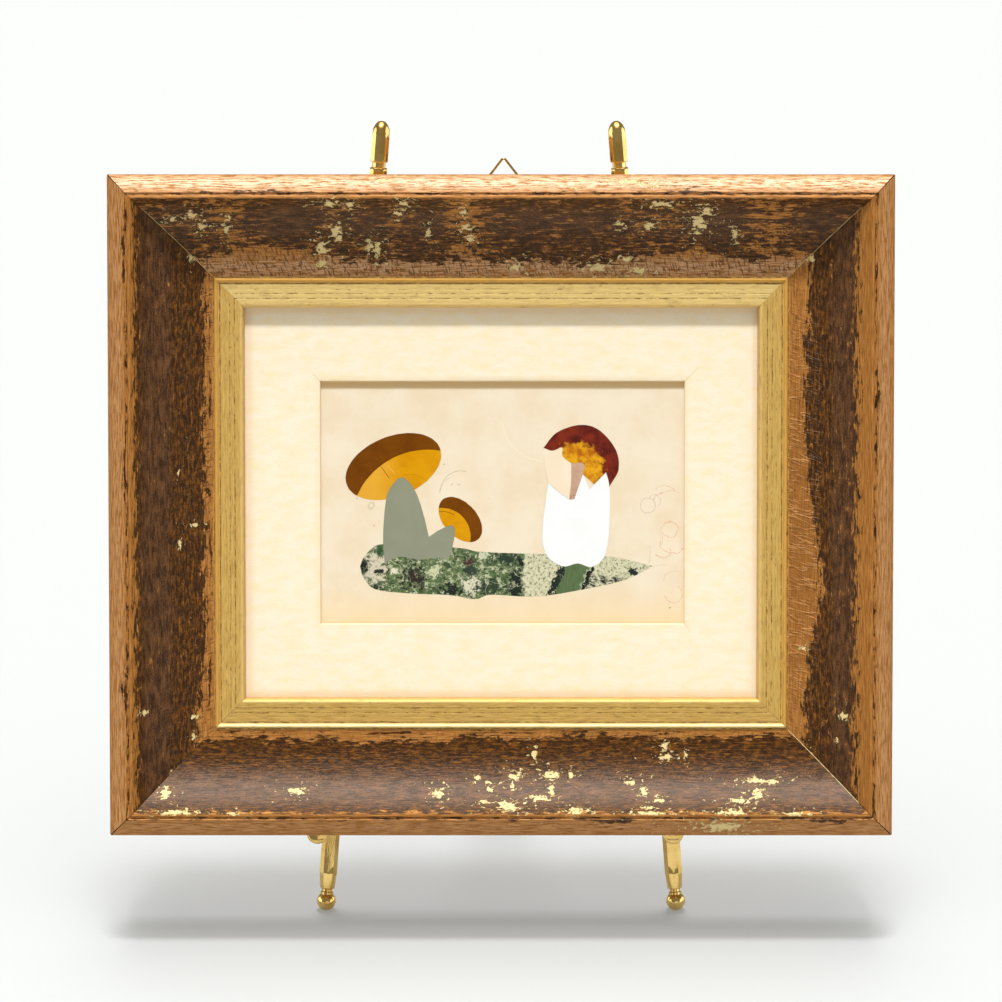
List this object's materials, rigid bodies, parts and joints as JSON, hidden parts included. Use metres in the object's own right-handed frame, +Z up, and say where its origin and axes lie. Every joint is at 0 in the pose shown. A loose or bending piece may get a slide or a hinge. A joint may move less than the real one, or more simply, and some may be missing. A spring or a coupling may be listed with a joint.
{
  "type": "inlaid stone panel on an easel",
  "caption": "Framed picture panel of inlaid stone with a mushroom motif, leaning back on a folding brass display easel.",
  "frame": {"origin": "on the standing surface, under the middle of the whole object", "axes": "+Z up, +Y from the picture towards the back, +X to the right as the picture is seen"},
  "size_m": [0.322, 0.1708, 0.3179],
  "materials": {
    "lacquered_wood": "brown lacquer worn through to copper and pale gold",
    "cream_liner": "cream paint, matt",
    "beige_stone": "honed",
    "brown_stone": "polished",
    "ochre_stone": "polished",
    "grey_stone": "honed",
    "green_marble": "polished, mottled",
    "red_stone": "polished, veined",
    "white_stone": "honed",
    "pale_stone": "honed",
    "pink_stone": "honed",
    "board": "bare board",
    "hanger_brass": "satin",
    "easel_brass": "polished"
  },
  "bodies": {
    "stand": {"frame_top": "lacquered_wood", "frame_bottom": "lacquered_wood", "frame_left": "lacquered_wood", "frame_right": "lacquered_wood", "liner_top": "cream_liner", "liner_bottom": "cream_liner", "liner_left": "cream_liner", "liner_right": "cream_liner", "stone_slab": "beige_stone", "large_cap": "brown_stone", "large_gills": "ochre_stone", "twin_stem": "grey_stone", "small_cap": "brown_stone", "small_gills": "ochre_stone", "ground": "green_marble", "red_cap": "red_stone", "white_cup": "white_stone", "pale_veil": "pale_stone", "young_stalk": "pink_stone", "backing_board": "board", "hanger_strap": "hanger_brass", "hanger_screw": "hanger_brass", "easel_leg_left": "easel_brass", "easel_leg_right": "easel_brass", "easel_upper_bar": "easel_brass", "easel_lower_bar": "easel_brass", "pivot_pin": "easel_brass", "easel_hook_left": "easel_brass", "easel_hook_right": "easel_brass"},
    "rear_leg": {"easel_rear_leg": "easel_brass"},
    "ring": {"hanger_ring": "hanger_brass"}
  },
  "joints": [
    {"name": "rear_leg_fold", "type": "hinge", "parent": "stand", "child": "rear_leg", "pos_m": [0, 0.00925, 0.22519], "axis": [-1, 0, 0], "range_deg": [0, 33]},
    {"name": "ring_swing", "type": "hinge", "parent": "stand", "child": "ring", "pos_m": [0.0011, 0.0166, 0.29203], "axis": [-1, 0, 0], "range_deg": [-20, 165]}
  ]
}
